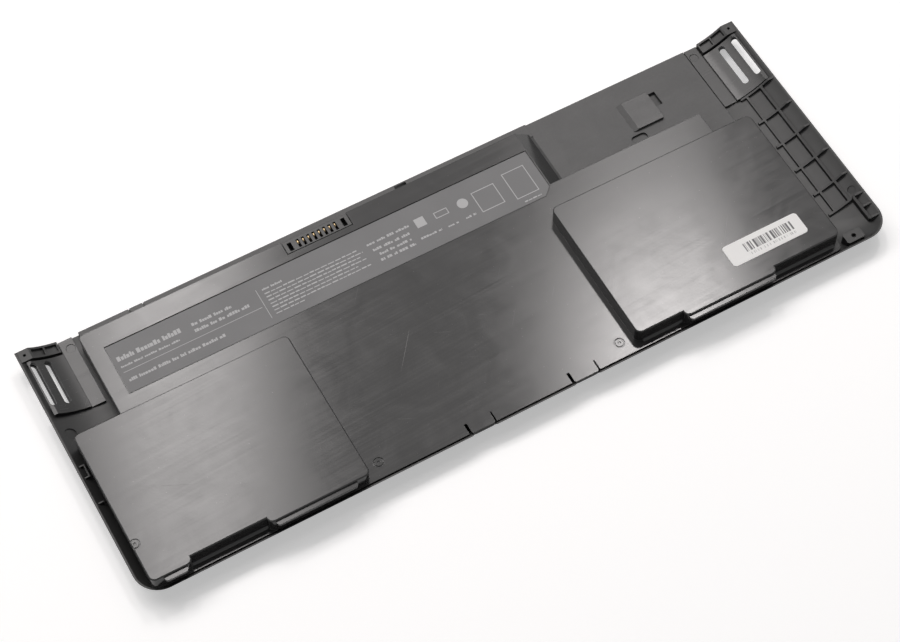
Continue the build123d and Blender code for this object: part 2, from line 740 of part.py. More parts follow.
# Foam pads that press the cells down under the cover
pad_foam_base = upper_base + pad_cell_thickness
deck_foam_base = lower_base + deck_cell_thickness
for name, (x_from, x_to) in zip(("left_foam_pad", "right_foam_pad"), pad_tape_spans):
    with BuildPart() as foam:
        with BuildSketch(Plane.XY.offset(pad_foam_base)):
            rectangle(x_from, x_to, cell_front + foam_margin, pad_cell_rear - foam_margin)
        extrude(amount=pad_foam_thickness)
    finish(foam, name)

with BuildPart() as deck_foam:
    with BuildSketch(Plane.XY.offset(deck_foam_base)):
        for mid_x in deck_cell_xs:
            rectangle(mid_x - deck_tape_half, mid_x + deck_tape_half, cell_front + foam_margin,
                      pad_cell_rear - foam_margin)
    extrude(amount=deck_foam_thickness)
finish(deck_foam, "middle_foam_pads")

# Nickel tabs at the terraces
tab_ys = (pad_cell_y - tab_spread / 2, pad_cell_y + tab_spread / 2)
pad_tab_heights = [base + (pad_cell_thickness - tab_thickness) / 2 for base in (lower_base, upper_base)]
left_tab_end = left_cell_right + pad_tab_length
right_tab_end = right_cell_left - pad_tab_length
with BuildPart() as left_tabs:
    for height in pad_tab_heights:
        for tab_y in tab_ys:
            block(left_cell_right, left_tab_end, tab_y - tab_width / 2, tab_y + tab_width / 2,
                  height, height + tab_thickness)
finish(left_tabs, "left_cell_tabs")

with BuildPart() as right_tabs:
    for height in pad_tab_heights:
        for tab_y in tab_ys:
            block(right_tab_end, right_cell_left, tab_y - tab_width / 2, tab_y + tab_width / 2,
                  height, height + tab_thickness)
finish(right_tabs, "right_cell_tabs")

with BuildPart() as deck_tabs:
    for mid_x in deck_cell_xs:
        for tab_x in (mid_x - tab_spread / 2, mid_x + tab_spread / 2):
            block(tab_x - tab_width / 2, tab_x + tab_width / 2,
                  deck_cell_rear, deck_cell_rear + deck_tab_length,
                  board_top, board_top + tab_thickness)
finish(deck_tabs, "middle_cell_tabs")

# Flat leads: upright strips from the tabs to a foot on the board
lead_front = tab_ys[0] - tab_width / 2 - lead_tab_lap
lead_high_rear = tab_ys[1] + tab_width / 2 + lead_tab_lap
lead_low_top = deck_top - cover_wall - lead_cover_gap
lead_high_top = pad_tab_heights[1] + tab_thickness + lead_tab_lap
lead_foot_rear = board_front + lead_foot_depth


def flat_lead(face_x, side):
    """Lead standing on the board's level, with its foot turned towards one side."""
    with BuildPart() as lead:
        with BuildSketch(Plane.YZ.offset(face_x)):
            Polygon((lead_front, board_top), (lead_foot_rear, board_top), (lead_foot_rear, lead_low_top),
                    (lead_high_rear, lead_low_top), (lead_high_rear, lead_high_top),
                    (lead_front, lead_high_top), align=None)
        extrude(amount=side * lead_thickness)
        x_ends = sorted((face_x, face_x + side * (lead_thickness + lead_foot_length)))
        block(x_ends[0], x_ends[1], board_front, lead_foot_rear, board_top, board_top + lead_thickness)
    return lead


left_lead = flat_lead(left_tab_end, 1)
finish(left_lead, "left_cell_lead")
right_lead = flat_lead(right_tab_end, -1)
finish(right_lead, "right_cell_lead")

# Protection board and its components
with BuildPart() as board:
    with BuildSketch(Plane.XY.offset(board_base)):
        rectangle(board_left, board_right, board_front, board_rear, board_corner)
    extrude(amount=board_thickness)
finish(board, "protection_board")

with BuildPart() as gauge:
    with Locations((board_right - gauge_right_inset, board_mid, board_top + gauge_height / 2)):
        Box(gauge_size, gauge_size, gauge_height)
    chamfer(gauge.faces().sort_by(Axis.Z)[-1].edges(), gauge_height / 4)
finish(gauge, "fuel_gauge_chip")

with BuildPart() as transistors:
    with Locations((board_left + transistor_left_inset, board_mid, board_top + transistor_height / 2)):
        with GridLocations(transistor_pitch, transistor_pitch, 2, 1):
            Box(transistor_size, transistor_size, transistor_height)
finish(transistors, "power_transistors")

with BuildPart() as fuse:
    with Locations((board_left + fuse_left_inset, board_mid, board_top + fuse_height / 2)):
        Box(fuse_length, fuse_width, fuse_height)
    chamfer(fuse.edges().filter_by(Axis.Y), fuse_height / 4)
finish(fuse, "safety_fuse")

with BuildPart() as shunt:
    with Locations((board_right - shunt_right_inset, board_mid, board_top + shunt_height / 2)):
        Box(shunt_length, shunt_width, shunt_height)
    fillet(shunt.edges().filter_by(Axis.Y).group_by(Axis.Z)[-1], shunt_height / 3)
finish(shunt, "current_shunt")

with BuildPart() as capacitors:
    with Locations((board_right - capacitor_right_inset, board_mid, board_top + capacitor_height / 2)):
        with GridLocations(capacitor_pitch, capacitor_pitch, capacitor_columns, capacitor_rows):
            Box(capacitor_length, capacitor_width, capacitor_height)
finish(capacitors, "board_capacitors")

# Blade connector: a comb-shaped block on the board, with a slot for each contact
with BuildPart() as connector:
    block(connector_x - connector_half, connector_x + connector_half, connector_front, connector_rear,
          board_top, deck_top)
    with BuildSketch(Plane.XY.offset(deck_top)):
        with Locations(*[(x, contact_slot_y) for x in contact_xs]):
            Rectangle(contact_slot_width, contact_slot_length)
        for pocket_x in (contact_xs[0] - end_pocket_offset, contact_xs[-1] + end_pocket_offset):
            with Locations((pocket_x, contact_slot_y)):
                Rectangle(end_pocket_width, contact_slot_length)
    extrude(amount=-contact_slot_depth, mode=Mode.SUBTRACT)
finish(connector, "connector_housing")

with BuildPart() as blades:
    blade_rear = contact_slot_y + contact_slot_length / 2
    for contact_x in contact_xs:
        with BuildSketch(Plane.YZ.offset(contact_x - blade_thickness / 2)):
            rectangle(blade_rear - blade_depth, blade_rear, slot_floor, slot_floor + blade_height)
            chamfer(vertices().group_by(Axis.Y)[-1], blade_thickness)
        extrude(amount=blade_thickness)
finish(blades, "contact_blades")

# Temperature sensor: a film that lies on a middle cell and drops to the board
with BuildPart() as sensor:
    film_top = deck_foam_base + sensor_film / 2
    film_low = board_top + sensor_film / 2
    film_bend = deck_cell_rear - cell_terrace
    with BuildSketch(Plane.YZ.offset(sensor_x)):
        with BuildLine():
            Polyline((film_bend - sensor_lap, film_top), (film_bend, film_top),
                     (deck_cell_rear + sensor_fall, film_low),
                     (deck_cell_rear + sensor_fall + sensor_foot, film_low))
        trace(line_width=sensor_film)
    extrude(amount=sensor_width)
finish(sensor, "temperature_sensor")

# Labels
with BuildPart() as rating_label:
    with BuildSketch(Plane.XY.offset(deck_top - label_sink)):
        add(label_outline.sketch.faces())
    extrude(amount=label_thickness)
finish(rating_label, "rating_label")

with BuildPart() as code_label:
    with BuildSketch(Plane.XY.offset(pad_top)):
        code_right = right_pad_right - code_label_end_inset + code_label_length / 2
        code_front = pad_front + code_label_front_inset - code_label_width / 2
        rectangle(code_right - code_label_length, code_right, code_front, code_front + code_label_width,
                  code_label_corner)
    extrude(amount=label_thickness)
finish(code_label, "code_label")
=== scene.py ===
"""Looks of a slim notebook battery pack: moulded casing, labels, connector and what is inside.

Metres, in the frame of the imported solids: X along the pack, +Y to the connector edge, Z up.
"""
import json
import logging
import math
import random
from dataclasses import dataclass
from enum import Enum
from typing import Optional, Sequence, Union

import bpy
from mathutils import Matrix, Vector


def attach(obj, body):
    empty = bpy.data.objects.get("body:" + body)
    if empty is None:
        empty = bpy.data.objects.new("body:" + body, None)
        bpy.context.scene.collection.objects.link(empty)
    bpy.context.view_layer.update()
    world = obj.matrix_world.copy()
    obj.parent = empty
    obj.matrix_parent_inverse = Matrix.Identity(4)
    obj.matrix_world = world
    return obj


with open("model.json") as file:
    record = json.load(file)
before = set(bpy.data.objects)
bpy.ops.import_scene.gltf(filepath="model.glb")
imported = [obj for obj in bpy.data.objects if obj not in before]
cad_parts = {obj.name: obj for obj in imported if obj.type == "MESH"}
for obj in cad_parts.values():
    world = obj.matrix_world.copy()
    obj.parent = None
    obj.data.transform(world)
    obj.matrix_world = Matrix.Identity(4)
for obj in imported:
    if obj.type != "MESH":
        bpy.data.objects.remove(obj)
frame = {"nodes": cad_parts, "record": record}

MM = 0.001
BODY = "root"

Colour = tuple[float, float, float]
Pair = tuple[float, float]
Triple = tuple[float, float, float]
Input = Union[float, Sequence[float], bpy.types.NodeSocket]

log = logging.getLogger("battery_pack")


class Slot(Enum):
    """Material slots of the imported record."""

    TRAY = "tray_plastic"
    COVER = "cover_plastic"
    GRILLE = "grille_plastic"
    CONNECTOR = "connector_plastic"
    CONTACT = "contact_gold"
    LABEL = "label_film"
    CODE = "label_paper"
    CELL = "cell_pouch"
    TAPE = "tape_film"
    FOAM = "foam"
    TAB = "tab_nickel"
    BOARD = "board_laminate"
    CHIP = "chip_resin"
    FUSE = "fuse_ceramic"
    SHUNT = "shunt_metal"
    CAPACITOR = "capacitor_ceramic"
    SENSOR = "sensor_film"


class NodeGraph:
    """Node tree of one material, with short calls for the nodes that the finishes use."""

    def __init__(self, name: str) -> None:
        """Start a material that holds a principled shader and its output."""
        self.material = bpy.data.materials.new(name)
        self.material.use_nodes = True
        self.tree = self.material.node_tree
        self.tree.nodes.clear()
        output = self.tree.nodes.new("ShaderNodeOutputMaterial")
        self.shader = self.tree.nodes.new("ShaderNodeBsdfPrincipled")
        self.tree.links.new(self.shader.outputs["BSDF"], output.inputs["Surface"])
        self.place = self.tree.nodes.new("ShaderNodeTexCoord").outputs["Object"]

    def feed(self, socket: bpy.types.NodeSocket, value: Input) -> None:
        """Link a socket, or set its value.

        Args:
            socket: input that takes the value.
            value: another socket, a number or a tuple.
        """
        if isinstance(value, bpy.types.NodeSocket):
            self.tree.links.new(value, socket)
        else:
            socket.default_value = value

    def turned(self, scale: Triple, turn: float = 0.0) -> bpy.types.NodeSocket:
        """Object coordinates, turned about Z and then stretched.

        Args:
            scale: factor along each axis.
            turn: angle about Z in degrees.

        Returns:
            The vector output.
        """
        spin = self.tree.nodes.new("ShaderNodeMapping")
        self.feed(spin.inputs["Vector"], self.place)
        spin.inputs["Rotation"].default_value = (0.0, 0.0, math.radians(turn))
        stretch = self.tree.nodes.new("ShaderNodeMapping")
        self.feed(stretch.inputs["Vector"], spin.outputs["Vector"])
        stretch.inputs["Scale"].default_value = scale
        return stretch.outputs["Vector"]

    def noise(self, scale: float, detail: float = 3.0, rough: float = 0.55, warp: float = 0.0,
              vector: Optional[bpy.types.NodeSocket] = None) -> bpy.types.NodeSocket:
        """Cloudy noise from 0 to 1.

        Args:
            scale: waves in a metre, or in a unit of the given vector.
            detail: octaves.
            rough: strength of the finer octaves.
            warp: distortion.
            vector: coordinates, object ones where none are given.

        Returns:
            The factor output.
        """
        node = self.tree.nodes.new("ShaderNodeTexNoise")
        self.feed(node.inputs["Vector"], vector or self.place)
        node.inputs["Scale"].default_value = scale
        node.inputs["Detail"].default_value = detail
        node.inputs["Roughness"].default_value = rough
        node.inputs["Distortion"].default_value = warp
        return node.outputs["Fac"]

    def cells(self, scale: float, vector: Optional[bpy.types.NodeSocket] = None) -> bpy.types.NodeSocket:
        """Distance to the nearest of a field of scattered points.

        Args:
            scale: points in a metre.
            vector: coordinates, object ones where none are given.

        Returns:
            The distance output.
        """
        node = self.tree.nodes.new("ShaderNodeTexVoronoi")
        self.feed(node.inputs["Vector"], vector or self.place)
        node.inputs["Scale"].default_value = scale
        return node.outputs["Distance"]

    def spread(self, value: bpy.types.NodeSocket, source: Pair,
               target: Pair = (0.0, 1.0)) -> bpy.types.NodeSocket:
        """Map a value from one range to another, held at its ends.

        Args:
            value: what is mapped.
            source: range that it comes from.
            target: range that it goes to.

        Returns:
            The mapped value.
        """
        node = self.tree.nodes.new("ShaderNodeMapRange")
        self.feed(node.inputs["Value"], value)
        for socket, number in zip(node.inputs[1:5], (*source, *target)):
            socket.default_value = number
        return node.outputs["Result"]

    def sum(self, operation: str, first: Input, second: Input) -> bpy.types.NodeSocket:
        """One arithmetic step.

        Args:
            operation: name of the math node's operation.
            first: left value.
            second: right value.

        Returns:
            The result.
        """
        node = self.tree.nodes.new("ShaderNodeMath")
        node.operation = operation
        self.feed(node.inputs[0], first)
        self.feed(node.inputs[1], second)
        return node.outputs["Value"]

    def blend(self, share: bpy.types.NodeSocket, first: Input, second: Input) -> bpy.types.NodeSocket:
        """Mix two colours.

        Args:
            share: part of the second colour, from 0 to 1.
            first: colour at 0.
            second: colour at 1.

        Returns:
            The mixed colour.
        """
        node = self.tree.nodes.new("ShaderNodeMix")
        node.data_type = "RGBA"
        self.feed(node.inputs["Factor"], share)
        for socket, value in zip((node.inputs[6], node.inputs[7]), (first, second)):
            self.feed(socket, value if isinstance(value, bpy.types.NodeSocket) else (*value, 1.0))
        return node.outputs[2]

    def relief(self, height: bpy.types.NodeSocket, depth: float,
               below: Optional[bpy.types.NodeSocket] = None) -> bpy.types.NodeSocket:
        """Surface relief as a bump.

        Args:
            height: value from 0 to 1.
            depth: metres for a height of 1.
            below: relief that this one lies on.

        Returns:
            The normal output.
        """
        node = self.tree.nodes.new("ShaderNodeBump")
        node.inputs["Strength"].default_value = 1.0
        node.inputs["Distance"].default_value = depth
        self.feed(node.inputs["Height"], height)
        if below is not None:
            self.feed(node.inputs["Normal"], below)
        return node.outputs["Normal"]

    def rounded(self, radius: float, samples: int) -> bpy.types.NodeSocket:
        """Normal that turns over small edges as if they were rounded.

        Args:
            radius: edge radius in metres.
            samples: rays for each lookup.

        Returns:
            The normal output.
        """
        node = self.tree.nodes.new("ShaderNodeBevel")
        node.samples = samples
        node.inputs["Radius"].default_value = radius
        return node.outputs["Normal"]

    def within(self, value: bpy.types.NodeSocket, middle: float, half: float,
               soft: float) -> bpy.types.NodeSocket:
        """One inside a band, zero outside it.

        Args:
            value: coordinate.
            middle: middle of the band.
            half: half of its width.
            soft: width of its edge.

        Returns:
            The mask.
        """
        away = self.sum("ABSOLUTE", self.sum("SUBTRACT", value, middle), 0.0)
        return self.spread(away, (half, half + soft), (1.0, 0.0))

    def axis(self, letter: str) -> bpy.types.NodeSocket:
        """One object coordinate in metres."""
        node = self.tree.nodes.new("ShaderNodeSeparateXYZ")
        self.feed(node.inputs["Vector"], self.place)
        return node.outputs[letter]

    def dress(self, **inputs: Input) -> bpy.types.Material:
        """Set the shader's inputs by name.

        Args:
            inputs: values by the socket's name in lower case, with _ for a space.

        Returns:
            The finished material.
        """
        for name, value in inputs.items():
            socket = self.shader.inputs[name.replace("_", " ").title().replace("Ior", "IOR")]
            if isinstance(value, tuple) and len(value) == 3 and socket.type == "RGBA":
                value = (*value, 1.0)
            self.feed(socket, value)
        return self.material


@dataclass(frozen=True)
class MouldedPlastic:
    """Black injection-moulded plastic with handling marks.

    The low floor has a duller tool finish than the faces above it, with painted light that lifts its
    colour paler in mottled patches; the upper faces are faintly brushed along the pack.
    """

    name: str
    colour: Colour
    haze: Colour
    gloss_roughness: float
    dull_roughness: float
    dull_below: float
    dull_fade: float = 0.4 * MM
    smudge_roughness: float = 0.035
    mottle: float = 0.0
    # painted light: how much paler the low floor's colour is painted, standing in for the light it catches
    low_painted_light: float = 0.0
    brush_depth: float = 0.0003 * MM
    flow_depth: float = 0.012 * MM
    grain_depth: float = 0.0012 * MM
    edge_radius: float = 0.22 * MM
    edge_samples: int = 4
    specular: float = 0.3
    cloud_scale: float = 26.0
    smudge_scale: float = 75.0
    spot_scale: float = 210.0
    dust_scale: float = 420.0
    flow_scale: float = 32.0
    grain_scale: float = 2600.0
    brush_scale: Triple = (14.0, 1500.0, 400.0)
    brush_turn: float = -3.0
    brush_roughness: float = 0.025
    scratch_runs: tuple[tuple[Triple, float], ...] = (((30.0, 2600.0, 40.0), 27.0),
                                                      ((24.0, 2200.0, 40.0), -52.0))
    scratch_range: Pair = (0.755, 0.78)
    scratch_share: float = 0.3
    scratch_gain: float = 3.0
    scratch_roughness: float = 0.12
    haze_share: float = 0.5
    # painted light: share and mottled range of the paler lift painted on the low floor
    painted_light_share: float = 0.7
    painted_light_range: Pair = (0.6, 1.4)
    dust_colour: Colour = (0.32, 0.31, 0.3)
    dust_share: float = 0.25

    def colours(self, graph: NodeGraph, scuffs: bpy.types.NodeSocket, low: bpy.types.NodeSocket,
                spots: bpy.types.NodeSocket) -> bpy.types.NodeSocket:
        """Black with haze, scratches, painted light that lifts the low floor paler, and dust.

        Args:
            graph: node tree of the material.
            scuffs: mask of the scratches.
            low: mask of the low floor.
            spots: mottling of the low floor, in its roughness and its painted paler tone.

        Returns:
            The colour.
        """
        clouds = graph.spread(graph.noise(self.cloud_scale, 5.0, 0.6, 0.6), (0.38, 0.72))
        dust = graph.spread(graph.cells(self.dust_scale), (0.035, 0.055), (1.0, 0.0))
        scraped = tuple(self.scratch_gain * part for part in self.haze)
        # painted light: the low floor's colour is lifted paler in mottled patches, standing in for the light
        # it catches
        painted_paler_colour = tuple(part + self.low_painted_light for part in self.colour)
        painted_light_mask = graph.sum("MULTIPLY", graph.spread(spots, (0.0, 1.0), self.painted_light_range), self.painted_light_share)
        tone = graph.blend(graph.sum("MULTIPLY", clouds, self.haze_share), self.colour, self.haze)
        tone = graph.blend(graph.sum("MULTIPLY", scuffs, self.scratch_share), tone, scraped)
        tone = graph.blend(graph.sum("MULTIPLY", low, painted_light_mask), tone, painted_paler_colour)
        return graph.blend(graph.sum("MULTIPLY", dust, self.dust_share), tone, self.dust_colour)

    def material(self) -> bpy.types.Material:
        """Build the material."""
        graph = NodeGraph(self.name)
        fade = (self.dull_below, self.dull_below + self.dull_fade)
        low = graph.spread(graph.axis("Z"), fade, (1.0, 0.0))
        spots = graph.spread(graph.noise(self.spot_scale, 5.0, 0.65, 0.4), (0.32, 0.7))
        streaks = graph.noise(1.0, 3.0, 0.6, vector=graph.turned(self.brush_scale, self.brush_turn))
        scratches = [graph.noise(1.0, 2.0, 0.5, vector=graph.turned(*run)) for run in self.scratch_runs]
        scuffs = graph.sum("MAXIMUM", *(graph.spread(line, self.scratch_range) for line in scratches))
        finish = graph.spread(graph.axis("Z"), fade, (self.dull_roughness, self.gloss_roughness))
        smudges = graph.noise(self.smudge_scale, 6.0, 0.62, 1.2)
        uneven = graph.spread(spots, (0.0, 1.0), (-0.5 * self.mottle, self.mottle))
        for change in (graph.spread(smudges, (0.3, 0.75), (0.0, self.smudge_roughness)),
                       graph.spread(streaks, (0.3, 0.7), (-self.brush_roughness, self.brush_roughness)),
                       graph.sum("MULTIPLY", scuffs, self.scratch_roughness),
                       graph.sum("MULTIPLY", low, uneven)):
            finish = graph.sum("ADD", finish, change)
        edges = graph.rounded(self.edge_radius, self.edge_samples)
        flow = graph.relief(graph.noise(self.flow_scale, 2.0, 0.4), self.flow_depth, edges)
        brushed = graph.relief(streaks, self.brush_depth, flow)
        grain = graph.relief(graph.noise(self.grain_scale, 2.0, 0.6), self.grain_depth, brushed)
        return graph.dress(base_color=self.colours(graph, scuffs, low, spots), roughness=finish, normal=grain,
                           specular_ior_level=self.specular)


@dataclass(frozen=True)
class LabelFilm:
    """Grey printed film with a soft sheen."""

    name: str
    colour: Colour
    roughness: float

    def material(self) -> bpy.types.Material:
        """Build the material."""
        graph = NodeGraph(self.name)
        patches = graph.noise(60.0, 4.0, 0.6)
        fibres = graph.noise(1800.0, 2.0, 0.5)
        tone = graph.blend(patches, tuple(0.94 * part for part in self.colour),
                           tuple(1.06 * part for part in self.colour))
        finish = graph.spread(patches, (0.2, 0.8), (self.roughness - 0.05, self.roughness + 0.05))
        return graph.dress(base_color=tone, roughness=finish, normal=graph.relief(fibres, 0.001 * MM))


@dataclass(frozen=True)
class BarPaper:
    """White paper with a field of plain uneven bars and a row of ticks under it."""

    name: str
    colour: Colour
    ink: Colour
    roughness: float
    bars_middle: Pair
    bars_half: Pair
    ticks_drop: float
    ticks_half: float
    edge: float = 0.12 * MM
    bar_scale: float = 1300.0
    tick_scale: float = 1900.0
    tick_share: float = 0.45

    def material(self) -> bpy.types.Material:
        """Build the material."""
        graph = NodeGraph(self.name)
        fibres = graph.noise(1800.0, 2.0, 0.5)
        patches = graph.noise(60.0, 4.0, 0.6)
        paper = graph.blend(patches, self.colour, tuple(0.97 * part for part in self.colour))
        bar_waves = graph.noise(1.0, 1.0, 0.5, vector=graph.turned((self.bar_scale, 0.0, 0.0)))
        tick_waves = graph.noise(1.0, 1.0, 0.5, vector=graph.turned((self.tick_scale, 0.0, 0.0)))
        bars = graph.spread(bar_waves, (0.47, 0.53))
        ticks = graph.spread(tick_waves, (0.5, 0.56))
        tick_y = self.bars_middle[1] - self.ticks_drop
        across = graph.within(graph.axis("X"), self.bars_middle[0], self.bars_half[0], self.edge)
        along = graph.within(graph.axis("Y"), self.bars_middle[1], self.bars_half[1], self.edge)
        below = graph.within(graph.axis("Y"), tick_y, self.ticks_half, self.edge)
        field = graph.sum("MULTIPLY", graph.sum("MULTIPLY", bars, along), across)
        faint = graph.sum("MULTIPLY", across, self.tick_share)
        row = graph.sum("MULTIPLY", graph.sum("MULTIPLY", ticks, below), faint)
        tone = graph.blend(graph.sum("MAXIMUM", field, row), paper, self.ink)
        finish = graph.spread(patches, (0.2, 0.8), (self.roughness - 0.05, self.roughness + 0.05))
        return graph.dress(base_color=tone, roughness=finish, normal=graph.relief(fibres, 0.001 * MM))


@dataclass(frozen=True)
class PlateMetal:
    """Bare or plated metal with a faint rolling grain."""

    name: str
    colour: Colour
    roughness: float

    def material(self) -> bpy.types.Material:
        """Build the material."""
        graph = NodeGraph(self.name)
        rolled = graph.noise(1.0, 3.0, 0.6, vector=graph.turned((60.0, 3000.0, 3000.0)))
        tarnish = graph.noise(260.0, 4.0, 0.6)
        dull = tuple(0.6 * part for part in self.colour)
        tone = graph.blend(graph.spread(tarnish, (0.45, 0.8)), self.colour, dull)
        finish = graph.spread(rolled, (0.3, 0.7), (self.roughness - 0.06, self.roughness + 0.08))
        return graph.dress(base_color=tone, roughness=finish, metallic=1.0,
                           normal=graph.relief(rolled, 0.001 * MM))


@dataclass(frozen=True)
class PlainBody:
    """Small moulded, sintered or cut body with a fine grain."""

    name: str
    colour: Colour
    shade: Colour
    roughness: float
    grain: float
    depth: float

    def material(self) -> bpy.types.Material:
        """Build the material."""
        graph = NodeGraph(self.name)
        grain = graph.noise(self.grain, 3.0, 0.6)
        tone = graph.blend(graph.spread(grain, (0.35, 0.7)), self.colour, self.shade)
        finish = graph.spread(graph.noise(90.0, 4.0), (0.25, 0.75),
                              (self.roughness - 0.06, self.roughness + 0.06))
        return graph.dress(base_color=tone, roughness=finish, normal=graph.relief(grain, self.depth))


@dataclass(frozen=True)
class BoardLaminate:
    """Glass-fibre board under a green solder mask."""

    name: str
    colour: Colour
    weave: Colour

    def material(self) -> bpy.types.Material:
        """Build the material."""
        graph = NodeGraph(self.name)
        threads = [graph.noise(1.0, 1.0, vector=graph.turned(scale)) for scale in
                   ((150.0, 2200.0, 400.0), (2200.0, 150.0, 400.0))]
        cloth = graph.sum("MULTIPLY", *threads)
        tone = graph.blend(graph.spread(cloth, (0.15, 0.4)), self.colour, self.weave)
        finish = graph.spread(graph.noise(120.0, 3.0), (0.3, 0.7), (0.28, 0.4))
        return graph.dress(base_color=tone, roughness=finish, normal=graph.relief(cloth, 0.004 * MM))


BLACK_TRAY = MouldedPlastic("tray_black", (0.028, 0.028, 0.028),
                            (0.036, 0.036, 0.035), 0.38, 0.42, 1.0 * MM)
# the cover's low floor gets painted light: its colour is lifted paler
BLACK_COVER = MouldedPlastic("cover_black", (0.025, 0.025, 0.025),
                             (0.034, 0.033, 0.033), 0.1, 0.4, 3.3 * MM,
                             mottle=0.1, low_painted_light=0.07, brush_depth=0.0008 * MM, smudge_roughness=0.06)
BLACK_GRILLE = MouldedPlastic("grille_black", (0.026, 0.026, 0.026),
                              (0.036, 0.036, 0.035), 0.24, 0.26, 1.0 * MM)
BLACK_COMB = MouldedPlastic("connector_black", (0.03, 0.03, 0.03),
                            (0.045, 0.045, 0.044), 0.28, 0.32, 1.0 * MM)
FINISHES = {
    Slot.TRAY: BLACK_TRAY,
    Slot.COVER: BLACK_COVER,
    Slot.GRILLE: BLACK_GRILLE,
    Slot.CONNECTOR: BLACK_COMB,
    Slot.CONTACT: PlateMetal("contact_gilt", (0.4, 0.3, 0.17), 0.45),
    Slot.LABEL: LabelFilm("label_grey", (0.118, 0.118, 0.12), 0.5),
    Slot.CODE: BarPaper("label_white", (0.92, 0.92, 0.91), (0.1, 0.1, 0.105), 0.55,
                        (100.2 * MM, -36.6 * MM), (9.6 * MM, 1.7 * MM), 2.9 * MM, 0.45 * MM),
    Slot.CELL: PlainBody("pouch_silver", (0.42, 0.43, 0.44), (0.5, 0.5, 0.51), 0.34, 700.0, 0.01 * MM),
    Slot.TAPE: PlainBody("tape_amber", (0.42, 0.22, 0.05), (0.5, 0.28, 0.07), 0.3, 300.0, 0.004 * MM),
    Slot.FOAM: PlainBody("foam_grey", (0.05, 0.05, 0.055), (0.025, 0.025, 0.03), 0.85, 2400.0, 0.08 * MM),
    Slot.TAB: PlateMetal("tab_nickel", (0.62, 0.6, 0.56), 0.3),
    Slot.BOARD: BoardLaminate("board_green", (0.012, 0.085, 0.04), (0.02, 0.115, 0.055)),
    Slot.CHIP: PlainBody("chip_black", (0.022, 0.022, 0.024), (0.03, 0.03, 0.032), 0.55, 1800.0, 0.004 * MM),
    Slot.FUSE: PlainBody("fuse_white", (0.72, 0.7, 0.66), (0.64, 0.62, 0.58), 0.45, 900.0, 0.004 * MM),
    Slot.SHUNT: PlateMetal("shunt_copper", (0.5, 0.4, 0.34), 0.36),
    Slot.CAPACITOR: PlainBody("capacitor_tan", (0.42, 0.3, 0.2), (0.36, 0.25, 0.16), 0.4, 1200.0, 0.003 * MM),
    Slot.SENSOR: PlainBody("sensor_amber", (0.5, 0.24, 0.03), (0.42, 0.19, 0.02), 0.28, 400.0, 0.004 * MM),
}


PRINT_LIGHT = LabelFilm("print_light", (0.42, 0.42, 0.425), 0.5)


def choose(piece: bpy.types.Object) -> None:
    """Make one object the only selected and active one."""
    bpy.ops.object.select_all(action="DESELECT")
    piece.select_set(True)
    bpy.context.view_layer.objects.active = piece


def hand_over(piece: bpy.types.Object, finish: bpy.types.Material) -> None:
    """Dress a new piece and let it ride with the pack.

    Args:
        piece: finished object.
        finish: material that covers it.
    """
    piece.data.materials.clear()
    piece.data.materials.append(finish)
    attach(piece, BODY)
    log.info("piece %s, %d faces", piece.name, len(piece.data.polygons))


@dataclass
class PackedNodes:
    """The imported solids, each dressed in the finish of its slot."""

    materials: dict[Slot, bpy.types.Material]

    def dress(self) -> None:
        """Give every solid its finish."""
        slots = {slot.value: slot for slot in Slot}
        for row in frame["record"]["subparts"]:
            mesh = frame["nodes"][row["node"]].data
            mesh.materials.clear()
            mesh.materials.append(self.materials[slots[row["material_slot"]]])
            log.info("node %s dressed as %s", row["node"], row["material_slot"])


@dataclass(frozen=True)
class PrintRow:
    """One row of blind print: plain blocks in groups, in millimetres on the label."""

    left: float
    right: float
    middle: float
    height: float
    block: float
    group: tuple[int, int]


FINE_ENDS = (-23.3, -21.6, -23.1, -21.7, -25.7, -21.5, -47.8)
FINE_TOP = 31.1
FINE_PITCH = 1.47
PRINT_ROWS = (
    PrintRow(-113.4, -89.9, 32.3, 1.9, 1.2, (3, 7)),
    PrintRow(-113.4, -91.2, 29.0, 0.75, 0.8, (3, 6)),
    PrintRow(-113.1, -77.3, 23.2, 1.2, 0.95, (3, 7)),
    PrintRow(-85.7, -70.8, 32.3, 1.2, 0.95, (2, 5)),
    PrintRow(-85.7, -65.3, 29.6, 1.2, 0.95, (2, 6)),
    PrintRow(-58.7, -50.5, 33.0, 0.8, 0.8, (3, 6)),
    *(PrintRow(-58.6, end, FINE_TOP - FINE_PITCH * row, 0.48, 2.4, (1, 1))
      for row, end in enumerate(FINE_ENDS)),
    PrintRow(-19.2, -1.9, 31.3, 1.0, 1.0, (2, 5)),
    PrintRow(-18.2, -3.3, 28.4, 1.0, 1.0, (2, 5)),
    PrintRow(-16.9, -4.5, 26.0, 1.0, 1.0, (2, 5)),
    PrintRow(-17.6, -4.1, 23.6, 1.0, 1.0, (2, 5)),
    PrintRow(-1.5, 6.7, 24.4, 0.8, 0.9, (3, 6)),
    PrintRow(9.1, 13.2, 24.2, 0.8, 0.9, (2, 4)),
    PrintRow(16.1, 20.1, 24.2, 0.8, 0.9, (2, 4)),
    PrintRow(37.3, 43.9, 20.0, 0.5, 1.6, (1, 1)),
)
PRINT_RULES = (
    (-113.5, 26.6, -61.7, 26.8),
    (-60.8, 21.3, -60.6, 33.9),
    (-0.4, 28.7, 3.3, 32.5),
)
PRINT_FRAMES = ((7.0, 29.0, 12.2, 31.6), (22.4, 23.4, 31.4, 32.4), (35.5, 22.1, 44.3, 34.0))
PRINT_DISC = (18.0, 30.2, 2.0)


